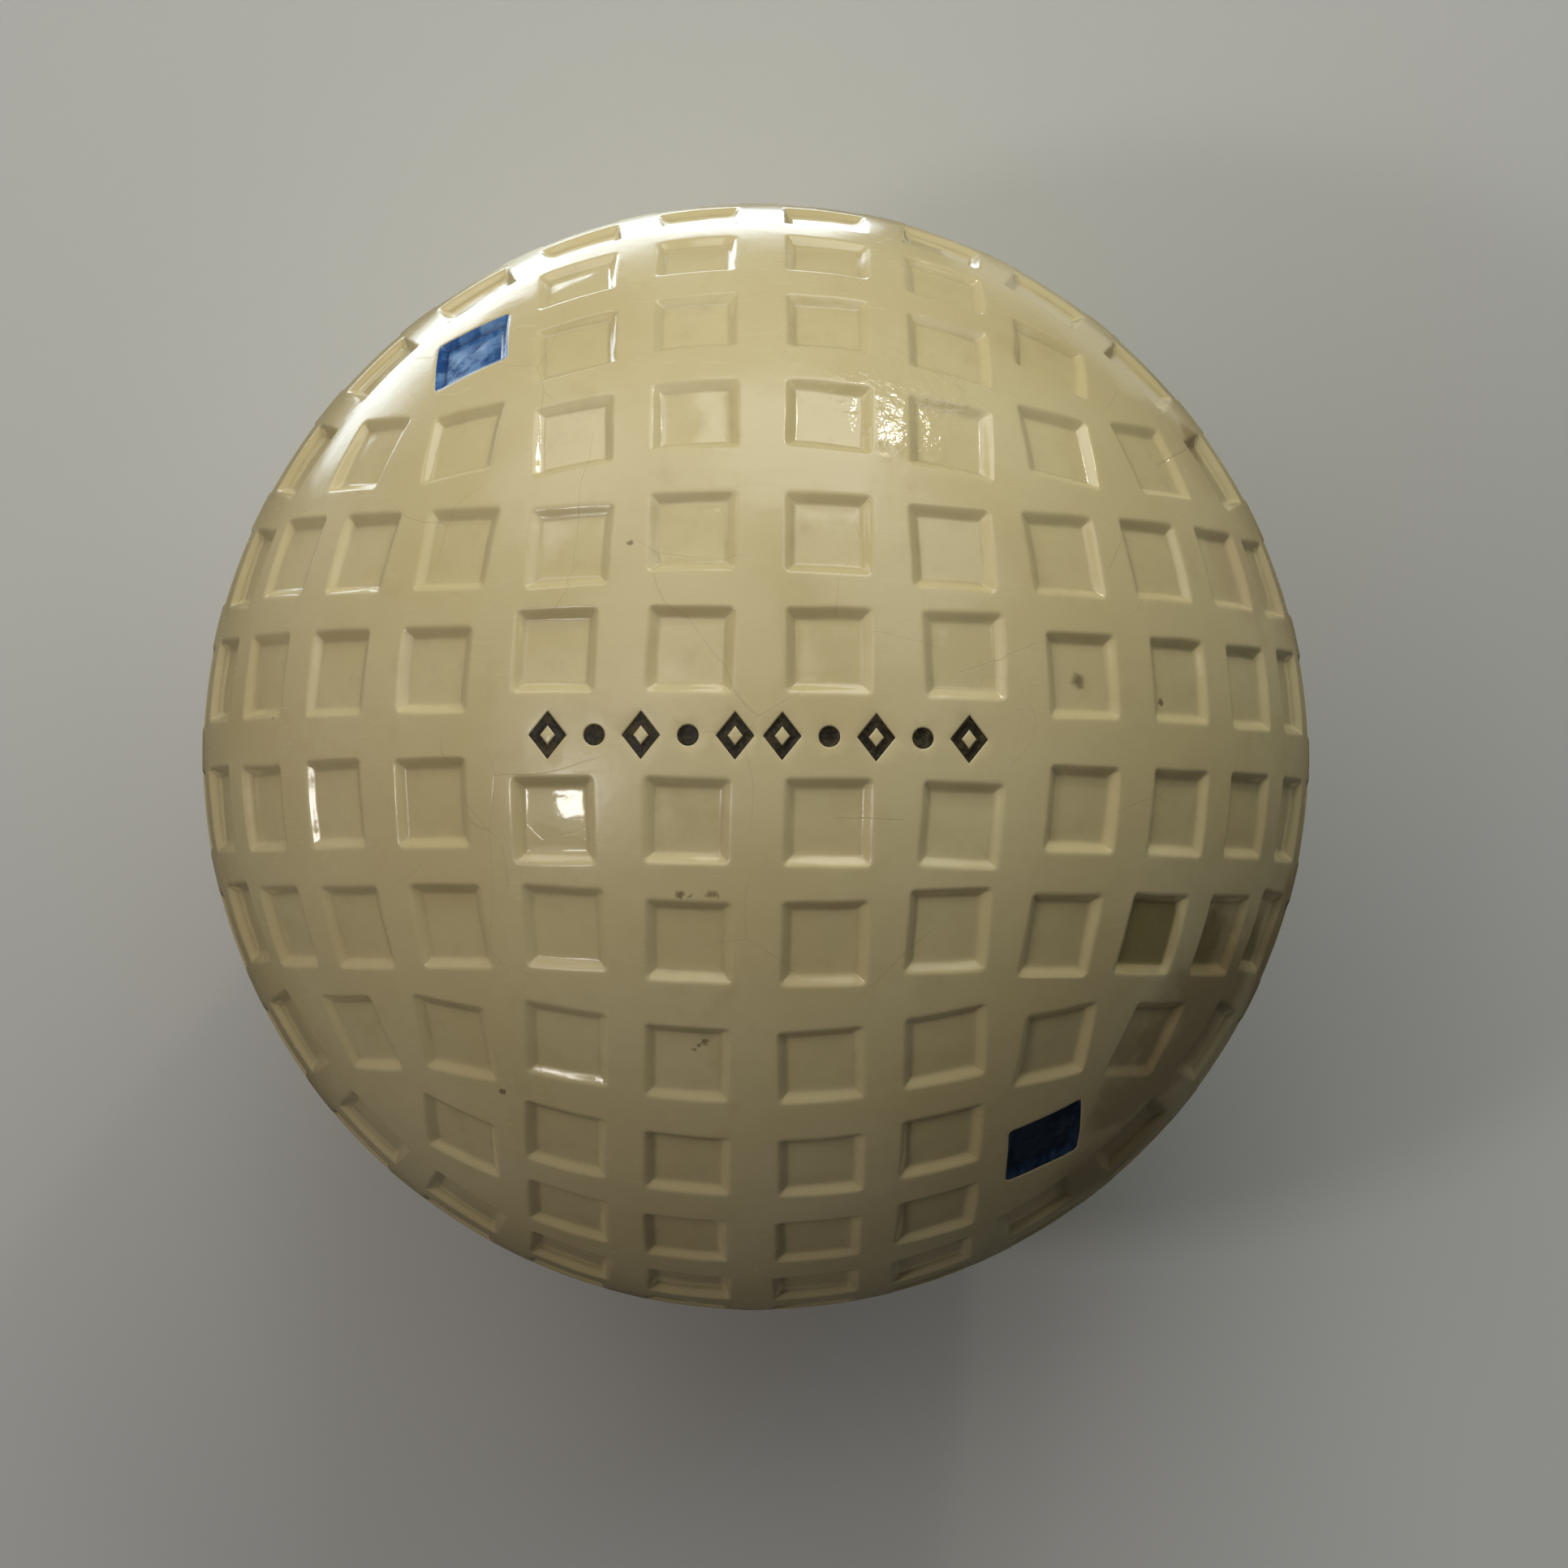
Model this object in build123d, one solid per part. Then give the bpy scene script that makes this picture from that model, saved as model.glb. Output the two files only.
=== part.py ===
"""A wound golf ball of the mesh-marked kind, built the way the real one is: a paste-filled
rubber sac, two lays of rubber tape, eight lays of rubber thread and a moulded cover in two
half shells, with square recesses, two blue recesses on each half and an inked mark on each pole.

Frame: the origin is the ball's centre, +Z runs through the stamped pole, +X along the stamped
row, and the two half shells meet on the plane Z = 0. Sizes are in millimetres and degrees.
"""

import math
import os

from build123d import *

# Driving dimensions
BALL_RADIUS = 42.67 / 2
COVER_THICKNESS = 1.9
LAYER_GAP = 0.02

PASTE_RADIUS = 6.5
SAC_WALL = 1.4
PLUG_RADIUS = 1.0

TAPE_LAYS = 2
TAPE_THICKNESS = 0.8
TAPE_WIDTH = 6.0
THREAD_LAYS = 8
THREAD_WIDTH = 2.2
GROOVE_DEPTH = 0.12
GROOVE_HALF_WIDTH = 0.12
LAY_TURN = 137.5
LAY_TILT = 68.0

SQUARES_PER_CIRCLE = 28
ROW_0_LATITUDE = 6.5
ROW_1_LATITUDE = 18.6
ROW_0_SPREAD = 1.2
ROW_1_SPREAD = 0.6
STAMP_ROW_LATITUDE = 8.1
STAMP_ROW_SQUARES = 2
INNER_POLAR = 45.9
INNER_SIDE_POLAR = 57.3
INNER_SIDE_TURN = 8.5

RECESS_MOUTH = 3.1
RECESS_FLOOR = 2.4
RECESS_DEPTH = 0.27
RECESS_CLEAR = 0.3
BLUE_FILM = 0.08

MARK_DEPTH = 0.14
INK_BELOW_SURFACE = 0.04
MARK_HEIGHT = 1.64
MARK_WIDTH = 1.3
MARK_STROKE = 0.28
MARK_PITCH = 1.65
MARKS_EACH_SIDE = 5
DOT_RADIUS = 0.36

PITCH = 360 / SQUARES_PER_CIRCLE
X, Y, Z = Vector(1, 0, 0), Vector(0, 1, 0), Vector(0, 0, 1)
COVER_INSIDE = BALL_RADIUS - COVER_THICKNESS
# A recess's floor follows the ball. Half way along a wall, these are the heights above the ball's
# centre of its foot and its top, and how far it leans out for each millimetre up.
WALL_FOOT = math.sqrt((BALL_RADIUS - RECESS_DEPTH) ** 2 - (RECESS_FLOOR / 2) ** 2)
WALL_TOP = math.sqrt(BALL_RADIUS**2 - (RECESS_MOUTH / 2) ** 2)
WALL_SLOPE = (RECESS_MOUTH - RECESS_FLOOR) / 2 / (WALL_TOP - WALL_FOOT)
OCTANTS = [(sx, sy) for sx in (1, -1) for sy in (1, -1)]


def sin(degrees):
    return math.sin(math.radians(degrees))


def cos(degrees):
    return math.cos(math.radians(degrees))


# Where the squares go

def on_circle(start, end, side, latitude, angle):
    """The direction at an angle from start towards end, raised by the latitude towards side."""
    along = start * cos(angle) + end * sin(angle)
    return along * cos(latitude) + side * sin(latitude)


def edge_along(direction, circle_axis):
    """The tangent at a direction that runs along its circle about circle_axis."""
    return circle_axis.cross(direction).normalized()


def edge_between(direction, first, second):
    """The tangent that splits the skew between the circles about two axes."""
    across = second - direction * direction.dot(second)
    return (edge_along(direction, first) + across.normalized()).normalized()


def row_squares(latitude, first, last, most_spread):
    """One row beside each side of the first octant: (direction, edge tangent) pairs.

    Each side runs from one axis to the next, and its last square is the next side's first.
    The squares are spread away from the stamped pole, most of all half way to the seam.
    """
    squares = []
    for start, end, side, spread in ((Z, X, Y, 1), (X, Y, Z, 0), (Y, Z, X, -1)):
        for k in range(first, last):
            ideal = PITCH * (k + 0.5)
            angle = ideal + spread * most_spread * sin(2 * ideal)
            beside_stamp = first == 0 and side is Y and k < STAMP_ROW_SQUARES
            raised = STAMP_ROW_LATITUDE if beside_stamp else latitude
            direction = on_circle(start, end, side, raised, angle)
            if k == first:
                squares.append((direction, edge_between(direction, side, end)))
            else:
                squares.append((direction, edge_along(direction, side)))
    return squares


def inner_squares():
    """The three squares round the blank centre of the first octant. The last one is painted."""
    middle = on_circle(X * cos(45) + Y * sin(45), Z, X, 0, 90 - INNER_POLAR)
    squares = [(middle, edge_between(middle, Y, X))]
    for turn, guide in ((-INNER_SIDE_TURN, Y), (INNER_SIDE_TURN, X)):
        outward = X * cos(45 + turn) + Y * sin(45 + turn)
        direction = outward * sin(INNER_SIDE_POLAR) + Z * cos(INNER_SIDE_POLAR)
        squares.append((direction, edge_along(direction, guide)))
    return squares


def mirrored(square, sx, sy):
    direction, edge = square
    return (
        Vector(direction.X * sx, direction.Y * sy, direction.Z),
        Vector(edge.X * sx, edge.Y * sy, edge.Z),
    )


def top_squares():
    """Every square of the top half."""
    inner_row_end = SQUARES_PER_CIRCLE // 4 - 2
    octant = (
        row_squares(ROW_0_LATITUDE, 0, inner_row_end + 1, ROW_0_SPREAD)
        + row_squares(ROW_1_LATITUDE, 1, inner_row_end, ROW_1_SPREAD)
        + inner_squares()
    )
    return [mirrored(square, sx, sy) for square in octant for sx, sy in OCTANTS]


def painted_squares():
    """The two squares of the top half that are painted blue, opposite each other."""
    painted = inner_squares()[-1]
    return [mirrored(painted, sx, -sx) for sx in (1, -1)]


# The cover and its colours

def recess(square, highest):
    """A square frustum that widens outwards, from the floor's sphere up to the given height."""
    direction, edge = square
    lowest = WALL_FOOT - RECESS_CLEAR
    narrow = RECESS_FLOOR - 2 * WALL_SLOPE * RECESS_CLEAR
    lean = WALL_SLOPE * (highest - lowest)
    wedge = Wedge(
        narrow,
        highest - lowest,
        narrow,
        -lean,
        -lean,
        narrow + lean,
        narrow + lean,
        align=(Align.NONE, Align.MIN, Align.NONE),
    )
    upright = Rot(90, 0, 0) * Pos(-narrow / 2, 0, -narrow / 2) * wedge
    base = Plane(direction * lowest, x_dir=edge, z_dir=direction)
    return base * upright - Sphere(BALL_RADIUS - RECESS_DEPTH)


def mark_outlines():
    """The stamped row seen from above: open diamonds and dots, the same on each side."""
    outlines = []
    for side in (1, -1):
        for k in range(MARKS_EACH_SIDE):
            place = Pos(side * MARK_PITCH * (k + 0.5), 0, 0)
            if k % 2:
                outlines.append(place * Circle(DOT_RADIUS))
            else:
                outlines.append(place * (diamond(0) - diamond(MARK_STROKE)))
    return outlines


def diamond(inset):
    """A diamond outline, drawn in from the full size by a stroke's width."""
    half_width, half_height = MARK_WIDTH / 2, MARK_HEIGHT / 2
    slant = math.hypot(half_width, half_height)
    shrink = 1 - inset * slant / (half_width * half_height)
    w, h = half_width * shrink, half_height * shrink
    return make_face(Polyline((w, 0), (0, h), (-w, 0), (0, -h), close=True))


def stamp_marks(lowest, highest):
    """The stamped row's solids between two radii."""
    outside, inside = Sphere(highest), Sphere(lowest)
    marks = []
    for outline in mark_outlines():
        column = Pos(0, 0, BALL_RADIUS / 2) * extrude(outline, BALL_RADIUS)
        marks.append((column & outside) - inside)
    return marks


def cover_top():
    # The sphere's own seam line is turned to +Y, where a plain band runs beside the stamp.
    ball = Rot(0, 0, 90) * Sphere(BALL_RADIUS)
    half = split(ball, Plane.XY, keep=Keep.TOP) - Sphere(COVER_INSIDE)
    tools = [recess(square, BALL_RADIUS + RECESS_CLEAR) for square in top_squares()]
    tools += stamp_marks(BALL_RADIUS - MARK_DEPTH, BALL_RADIUS + RECESS_CLEAR)
    return half - tools


def blue_paint_top():
    top = Sphere(BALL_RADIUS - RECESS_DEPTH + BLUE_FILM)
    return Compound([recess(square, BALL_RADIUS) & top for square in painted_squares()])


def stamp_ink_top():
    marks = stamp_marks(BALL_RADIUS - MARK_DEPTH, BALL_RADIUS - INK_BELOW_SURFACE)
    return Compound([solid for mark in marks for solid in mark.solids()])


# The core

def wound_lay(inner, outer, width, number):
    """A closed lay of turns side by side about one axis, each lay about another axis."""
    turns = round(math.pi * outer / width)
    step = 180 / turns
    groove = math.degrees(GROOVE_HALF_WIDTH / outer)

    def point(radius, latitude):
        return (radius * cos(latitude), 0, radius * sin(latitude))

    edges = []
    for k in range(turns):
        low, high = k * step - 90, (k + 1) * step - 90
        low_edge = low if k == 0 else low + groove
        high_edge = high if k == turns - 1 else high - groove
        middle = (low_edge + high_edge) / 2
        edges.append(
            ThreePointArc(point(outer, low_edge), point(outer, middle), point(outer, high_edge))
        )
        if k < turns - 1:
            bottom = point(outer - GROOVE_DEPTH, high)
            edges.append(Line(point(outer, high_edge), bottom))
            edges.append(Line(bottom, point(outer, high + groove)))
    edges.append(Line((0, 0, outer), (0, 0, -outer)))
    solid = revolve(make_face(edges), Axis.Z) - Sphere(inner)
    return Rot(0, 0, LAY_TURN * number) * Rot(LAY_TILT * (number % 3), 0, 0) * solid


def core_nodes():
    """The paste, the sac with its plug, and the lays of tape and thread, from inside out."""
    sac_outside = PASTE_RADIUS + SAC_WALL
    sac = Sphere(sac_outside) - Sphere(PASTE_RADIUS)
    bore = Pos(0, 0, sac_outside) * Cylinder(PLUG_RADIUS, 2 * sac_outside)
    nodes = {
        "core_paste": Sphere(PASTE_RADIUS),
        "core_sac": sac - bore,
        "core_plug": sac & bore,
    }
    inner = sac_outside + LAYER_GAP
    for k in range(TAPE_LAYS):
        outer = inner + TAPE_THICKNESS
        nodes[f"tape_winding_{k + 1}"] = wound_lay(inner, outer, TAPE_WIDTH, k)
        inner = outer + LAYER_GAP
    thickness = (COVER_INSIDE - inner) / THREAD_LAYS - LAYER_GAP
    for k in range(THREAD_LAYS):
        outer = inner + thickness
        nodes[f"thread_winding_{k + 1}"] = wound_lay(inner, outer, THREAD_WIDTH, k + TAPE_LAYS)
        inner = outer + LAYER_GAP
    return nodes


def main():
    nodes = core_nodes()
    for name, top in (
        ("cover", cover_top()),
        ("blue_paint", blue_paint_top()),
        ("stamp_ink", stamp_ink_top()),
    ):
        nodes[name + "_top"] = top
        nodes[name + "_bottom"] = mirror(top, Plane.XY)
    os.makedirs("parts", exist_ok=True)
    for name, shape in nodes.items():
        export_step(shape, f"parts/{name}.step")


main()
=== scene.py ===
import math

import bpy
import numpy as np
from mathutils import Euler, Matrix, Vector
from mathutils.geometry import delaunay_2d_cdt


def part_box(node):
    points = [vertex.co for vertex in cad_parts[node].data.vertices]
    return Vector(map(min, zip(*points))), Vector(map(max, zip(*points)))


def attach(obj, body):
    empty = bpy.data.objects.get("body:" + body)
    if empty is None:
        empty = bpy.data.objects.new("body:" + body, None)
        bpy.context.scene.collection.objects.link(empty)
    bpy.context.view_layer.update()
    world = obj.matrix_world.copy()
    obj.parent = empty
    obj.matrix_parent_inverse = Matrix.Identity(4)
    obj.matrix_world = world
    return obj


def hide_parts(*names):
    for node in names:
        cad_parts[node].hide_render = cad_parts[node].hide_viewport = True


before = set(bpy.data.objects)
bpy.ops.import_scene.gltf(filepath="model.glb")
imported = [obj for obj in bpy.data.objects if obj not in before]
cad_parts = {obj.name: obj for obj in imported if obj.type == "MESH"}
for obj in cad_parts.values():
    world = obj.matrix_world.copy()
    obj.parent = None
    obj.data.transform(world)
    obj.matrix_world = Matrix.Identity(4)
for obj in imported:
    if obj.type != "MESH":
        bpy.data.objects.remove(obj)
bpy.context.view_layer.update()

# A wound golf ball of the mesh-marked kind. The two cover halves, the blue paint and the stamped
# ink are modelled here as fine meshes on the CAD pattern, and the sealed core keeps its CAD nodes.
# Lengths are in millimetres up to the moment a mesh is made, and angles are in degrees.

MM = 0.001
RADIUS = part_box("cover_top")[1].z / MM
COVER_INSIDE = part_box("thread_winding_8")[1].z / MM + 0.02

# The pattern, as the CAD has it. A latitude is counted from the great circle beside a row, a polar
# angle from the pole, and a spread is the most that a row's squares are pushed from the pole.
SQUARES_PER_CIRCLE = 28
PITCH = 360 / SQUARES_PER_CIRCLE
ROW_0_LATITUDE = 6.5
ROW_1_LATITUDE = 18.6
ROW_0_SPREAD = 1.2
ROW_1_SPREAD = 0.6
STAMP_ROW_LATITUDE = 8.1
STAMP_ROW_SQUARES = 2
INNER_POLAR = 45.9
INNER_SIDE_POLAR = 57.3
INNER_SIDE_TURN = 8.5
RECESS_HALF = 1.55
RECESS_DEPTH = 0.27
MARK_DEPTH = 0.14
MARK_HALF_HEIGHT = 0.82
MARK_HALF_WIDTH = 0.65
MARK_STROKE = 0.28
MARK_PITCH = 1.65
MARKS_EACH_SIDE = 5
MARK_SLANT = math.hypot(MARK_HALF_WIDTH, MARK_HALF_HEIGHT)
MARK_REACH = MARK_HALF_WIDTH * MARK_HALF_HEIGHT
DOT_RADIUS = 0.36

# How the enamel softens it. A fillet is the share of a wall that is rounded at each end.
WALL_WIDTH = 0.34
WALL_FILLET = 0.3
CORNER_RADIUS = 0.2
LEAST_CORNER = 0.05
MARK_WALL = 0.05
MARK_FILLET = 0.4
SEAM_DEPTH = 0.03
SEAM_HALF_WIDTH = 0.07

# How finely it is meshed. RINGS are the distances from a recess's mouth at which a ring of points
# runs, and MARK_OFFSETS the distances from a stroke's edge. Both are negative inside.
SIDE_STEPS = 7
CORNER_STEPS = 3
RINGS = (
    0.24, 0.12, 0.06, 0.02, -0.02, -0.07, -0.18, -0.28, -0.33, -0.38, -0.44, -0.68, -0.94, -1.20,
)
LAND_STEP = 0.42
AREA_PER_POINT = 0.866 * LAND_STEP**2
BORDER_CLEARANCE = 0.5 * LAND_STEP
MARK_CLEARANCE = 0.3 * LAND_STEP
SQUARE_CLEARANCE = 0.45 * LAND_STEP
BORDER_STEP = 0.4
SEAM_ROWS = (0.05, 0.11, 0.22)
MARK_OFFSETS = (0.075, 0.025, -0.02, -0.065)
MARK_STEPS = 9
INSIDE_ROWS = 18

# How uneven the moulding and the paint are
SEED = 11
SHIFT_SPREAD = 0.03
TURN_SPREAD = 0.7
SIZE_SPREAD = 0.012
DEPTH_SPREAD = 0.07
DEPTH_LIMITS = (-0.15, 0.1)
TILT_SPREAD = 0.012
EDGE_WOBBLE = 0.022
HOLD_FILLET = 0.1
OUT_OF_ROUND = 0.045
PAINT_WAVES = 0.008
FLOOR_WAVES = 0.011

# How far apart that unevenness changes
EDGE_WOBBLE_CELL = 0.9
OUT_OF_ROUND_CELL = 13.0
PAINT_WAVE_CELL = 1.3
FINE_PAINT_WAVE_CELL = 0.5
FLOOR_WAVE_CELL = 0.95
BLUE_FILM_CELL = 0.5

# The films of ink and blue paint. INK_TOP is how far the ink lies below the ball's surface, UNDER
# how far each film reaches into the cover, and TUCK how far its edge dips below the cover.
INK_TOP = 0.05
INK_BRIM = MARK_OFFSETS[1] + 0.002
MENISCUS = 0.02
MENISCUS_WIDTH = 0.05
BLUE_FILM = 0.022
BLUE_UNEVENNESS = 0.5
BLUE_BRIM = RINGS[3]
BLUE_FADE = 0.06
UNDER = 0.02
TUCK = 0.01

# The masks that tell the enamel where it is
MASK_FADE = 0.08
MASK_FILLET = 0.2
GRIME_WIDTH = 0.07
STROKE_GRIME = 0.8
STROKE_GRIME_MIDDLE = 0.02
STROKE_GRIME_REACH = 0.05

# A distance past every mark, and cosines of the angles past a pole's marks and past a square
FAR_AWAY = 9.0
NEAR_POLE = 0.8
NEAR_SQUARE = 0.9
# The least cosine that a point's place on a square's plane is divided by
LEAST_FACING = 0.5
# Lengths and areas too small to matter, and how finely a direction is compared
SAME = 1e-6
NOTHING = 1e-9
KEYS_PER_UNIT = 1e6
NOISE_TABLE = 32

X, Y, Z = np.eye(3)
OCTANTS = [(sx, sy) for sx in (1, -1) for sy in (1, -1)]
# The marks on the +X side of a pole, as (distance from the pole, whether it is a dot)
MARKS = [(MARK_PITCH * (k + 0.5), k % 2 == 1) for k in range(MARKS_EACH_SIDE)]


# ---- The pattern of squares ----

def sin(degrees):
    return np.sin(np.radians(degrees))


def cos(degrees):
    return np.cos(np.radians(degrees))


def unit(v):
    return v / np.linalg.norm(v, axis=-1, keepdims=True)


def on_circle(start, end, side, latitude, angle):
    """The direction at an angle from start towards end, raised by the latitude towards side."""
    along = start * cos(angle) + end * sin(angle)
    return along * cos(latitude) + side * sin(latitude)


def edge_along(direction, circle_axis):
    """The tangent at a direction that runs along its circle about circle_axis."""
    return unit(np.cross(circle_axis, direction))


def edge_between(direction, first, second):
    """The tangent that splits the skew between the circles about two axes."""
    across = second - direction * direction.dot(second)
    return unit(edge_along(direction, first) + unit(across))


def row_squares(latitude, first, last, most_spread):
    """One row beside each side of the first octant: (direction, edge tangent) pairs."""
    squares = []
    for start, end, side, spread in ((Z, X, Y, 1), (X, Y, Z, 0), (Y, Z, X, -1)):
        for k in range(first, last):
            ideal = PITCH * (k + 0.5)
            angle = ideal + spread * most_spread * sin(2 * ideal)
            beside_stamp = first == 0 and side is Y and k < STAMP_ROW_SQUARES
            raised = STAMP_ROW_LATITUDE if beside_stamp else latitude
            direction = on_circle(start, end, side, raised, angle)
            if k == first:
                squares.append((direction, edge_between(direction, side, end)))
            else:
                squares.append((direction, edge_along(direction, side)))
    return squares


def octant_squares():
    """The first octant's squares. The last one is painted blue in two octants of each half."""
    row_end = SQUARES_PER_CIRCLE // 4 - 2
    squares = row_squares(ROW_0_LATITUDE, 0, row_end + 1, ROW_0_SPREAD)
    squares += row_squares(ROW_1_LATITUDE, 1, row_end, ROW_1_SPREAD)
    middle = on_circle(unit(X + Y), Z, X, 0, 90 - INNER_POLAR)
    squares.append((middle, edge_between(middle, Y, X)))
    for turn, guide in ((-INNER_SIDE_TURN, Y), (INNER_SIDE_TURN, X)):
        outward = X * cos(45 + turn) + Y * sin(45 + turn)
        direction = outward * sin(INNER_SIDE_POLAR) + Z * cos(INNER_SIDE_POLAR)
        squares.append((direction, edge_along(direction, guide)))
    return squares


# ---- Distances and profiles ----

def box_distance(a, b, half, corner):
    """Signed distance to a rounded square, negative inside."""
    qa = np.abs(a) - (half - corner)
    qb = np.abs(b) - (half - corner)
    outside = np.hypot(np.maximum(qa, 0), np.maximum(qb, 0))
    return outside + np.minimum(np.maximum(qa, qb), 0) - corner


def soft_ramp(t, fillet):
    """0 below 0 and 1 above 1, straight between, with both bends rounded."""
    low = np.where(t < fillet, np.maximum(t + fillet, 0) ** 2 / (4 * fillet), t)
    high = np.where(t > 1 - fillet, 1 - np.maximum(1 + fillet - t, 0) ** 2 / (4 * fillet), t)
    return np.where(t < 0.5, low, high)


def diamond_distance(x, y, centre):
    """Signed distance to the outer edge of a diamond mark."""
    across, up = np.abs(x - centre) * MARK_HALF_HEIGHT, np.abs(y) * MARK_HALF_WIDTH
    return (across + up - MARK_REACH) / MARK_SLANT


def mark_distance(directions):
    """Signed distance to the nearest stroke of the stamped rows, negative inside a stroke."""
    x, y = np.abs(directions[:, 0]) * RADIUS, directions[:, 1] * RADIUS
    nearest = np.full(len(x), FAR_AWAY)
    for centre, is_dot in MARKS:
        if is_dot:
            away = np.hypot(x - centre, y) - DOT_RADIUS
        else:
            half_stroke = MARK_STROKE / 2
            away = np.abs(diamond_distance(x, y, centre) + half_stroke) - half_stroke
        nearest = np.minimum(nearest, away)
    far_from_pole = np.abs(directions[:, 2]) < NEAR_POLE
    nearest[far_from_pole] = FAR_AWAY
    return nearest


def mark_sinking(stroke):
    """How far a point is below the ball's surface, from its distance to the nearest stroke."""
    return MARK_DEPTH * soft_ramp(0.5 - stroke / MARK_WALL, MARK_FILLET)


def smooth_noise(points, cell, seed):
    """Smooth random values from -1 to 1 that change over about one cell."""
    table = np.random.default_rng(seed).uniform(-1, 1, (NOISE_TABLE,) * 3)
    scaled = points / cell
    base = np.floor(scaled).astype(int)
    part = scaled - base
    part = part * part * (3 - 2 * part)
    total = np.zeros(len(points))
    for dx in (0, 1):
        for dy in (0, 1):
            for dz in (0, 1):
                weight = (
                    (part[:, 0] if dx else 1 - part[:, 0])
                    * (part[:, 1] if dy else 1 - part[:, 1])
                    * (part[:, 2] if dz else 1 - part[:, 2])
                )
                corner = (base + (dx, dy, dz)) % NOISE_TABLE
                total += weight * table[corner[:, 0], corner[:, 1], corner[:, 2]]
    return total


# ---- One octant's mesh ----

def rounded_square(half, corner):
    """Points round a rounded square, the same number whatever its size."""
    straight = half - corner
    side = np.linspace(-straight, straight, SIDE_STEPS + 1)[:-1]
    turn = np.radians(np.linspace(0, 90, CORNER_STEPS + 1)[:-1])
    a = np.concatenate([np.full(SIDE_STEPS, half), straight + corner * np.cos(turn)])
    b = np.concatenate([side, straight + corner * np.sin(turn)])
    quarters = []
    for _ in range(4):
        quarters.append(np.stack([a, b], 1))
        a, b = -b, a
    return np.concatenate(quarters)


def patch_points():
    """Every square's own points: local coordinates, signed distance, and faces between rings."""
    rings = []
    for offset in RINGS:
        corner = max(CORNER_RADIUS + offset, LEAST_CORNER)
        rings.append(rounded_square(RECESS_HALF + offset, corner))
    local = np.concatenate([*rings, np.zeros((1, 2))])
    around = len(rings[0])
    distance = np.concatenate([np.repeat(RINGS, around), [-RECESS_HALF]])
    faces = []
    for ring in range(len(RINGS) - 1):
        for k in range(around):
            outer, inner = ring * around, (ring + 1) * around
            after = (k + 1) % around
            faces.append((outer + k, outer + after, inner + after, inner + k))
    last, centre = (len(RINGS) - 1) * around, len(local) - 1
    faces += [(last + k, last + (k + 1) % around, centre) for k in range(around)]
    return local, distance, faces, around


def border_angles(given):
    """Angles along one side of the octant, in even steps between its ends and the given angles."""
    stops = sorted({0.0, 90.0, *given})
    angles = []
    for low, high in zip(stops[:-1], stops[1:]):
        steps = max(1, round(np.radians(high - low) * RADIUS / BORDER_STEP))
        angles += list(np.linspace(low, high, steps + 1)[:-1])
    return np.array([*angles, 90.0])


def mark_lines():
    """Half outlines of the marks, from the +X side round to the -X side, as (x, y) points."""
    lines = []
    for centre, is_dot in MARKS:
        if is_dot:
            turn = np.radians(np.linspace(0, 180, MARK_STEPS + 1))
            for offset in MARK_OFFSETS:
                r = DOT_RADIUS + offset
                lines.append(np.stack([centre + r * np.cos(turn), r * np.sin(turn)], 1))
            continue
        inner = [-MARK_STROKE - offset for offset in MARK_OFFSETS]
        for offset in (*MARK_OFFSETS, -MARK_STROKE / 2, *inner):
            grown = 1 + offset * MARK_SLANT / MARK_REACH
            w, h = MARK_HALF_WIDTH * grown, MARK_HALF_HEIGHT * grown
            steps = max(3, round(MARK_STEPS * grown))
            t = np.linspace(0, 1, steps + 1)[:, None]
            right, top = np.array([centre + w, 0]), np.array([centre, h])
            left = np.array([centre - w, 0])
            rising, falling = right + (top - right) * t, top + (left - top) * t
            lines.append(np.concatenate([rising, falling[1:]]))
    return lines


def lift(xy):
    """The direction whose X and Y are given in millimetres."""
    x, y = xy[:, 0] / RADIUS, xy[:, 1] / RADIUS
    return np.stack([x, y, np.sqrt(1 - x * x - y * y)], 1)


def land_points(normals, edges):
    """Evenly spread points on the lands, clear of squares, borders, marks and seam rows."""
    count = round(4 * math.pi * RADIUS**2 / AREA_PER_POINT)
    k = np.arange(count) + 0.5
    z = 1 - 2 * k / count
    turn = k * math.pi * (1 + 5**0.5)
    ring = np.sqrt(1 - z * z)
    points = np.stack([ring * np.cos(turn), ring * np.sin(turn), z], 1)
    keep = points[:, :2].min(1) * RADIUS > BORDER_CLEARANCE
    keep &= z * RADIUS > SEAM_ROWS[-1] + BORDER_CLEARANCE
    points = points[keep]
    keep = mark_distance(points) > MARK_OFFSETS[0] + MARK_CLEARANCE
    for centre, is_dot in MARKS:
        inside = diamond_distance(points[:, 0] * RADIUS, points[:, 1] * RADIUS, centre) < 0
        keep &= is_dot | ~inside | (points[:, 2] < NEAR_POLE)
    for n, e in zip(normals, edges):
        facing = points @ n
        forward = np.maximum(facing, LEAST_FACING)
        a = RADIUS * (points @ e) / forward
        b = RADIUS * (points @ np.cross(n, e)) / forward
        away = box_distance(a, b, RECESS_HALF, CORNER_RADIUS)
        keep &= (away > RINGS[0] + SQUARE_CLEARANCE) | (facing < NEAR_SQUARE)
    return points[keep]


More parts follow.
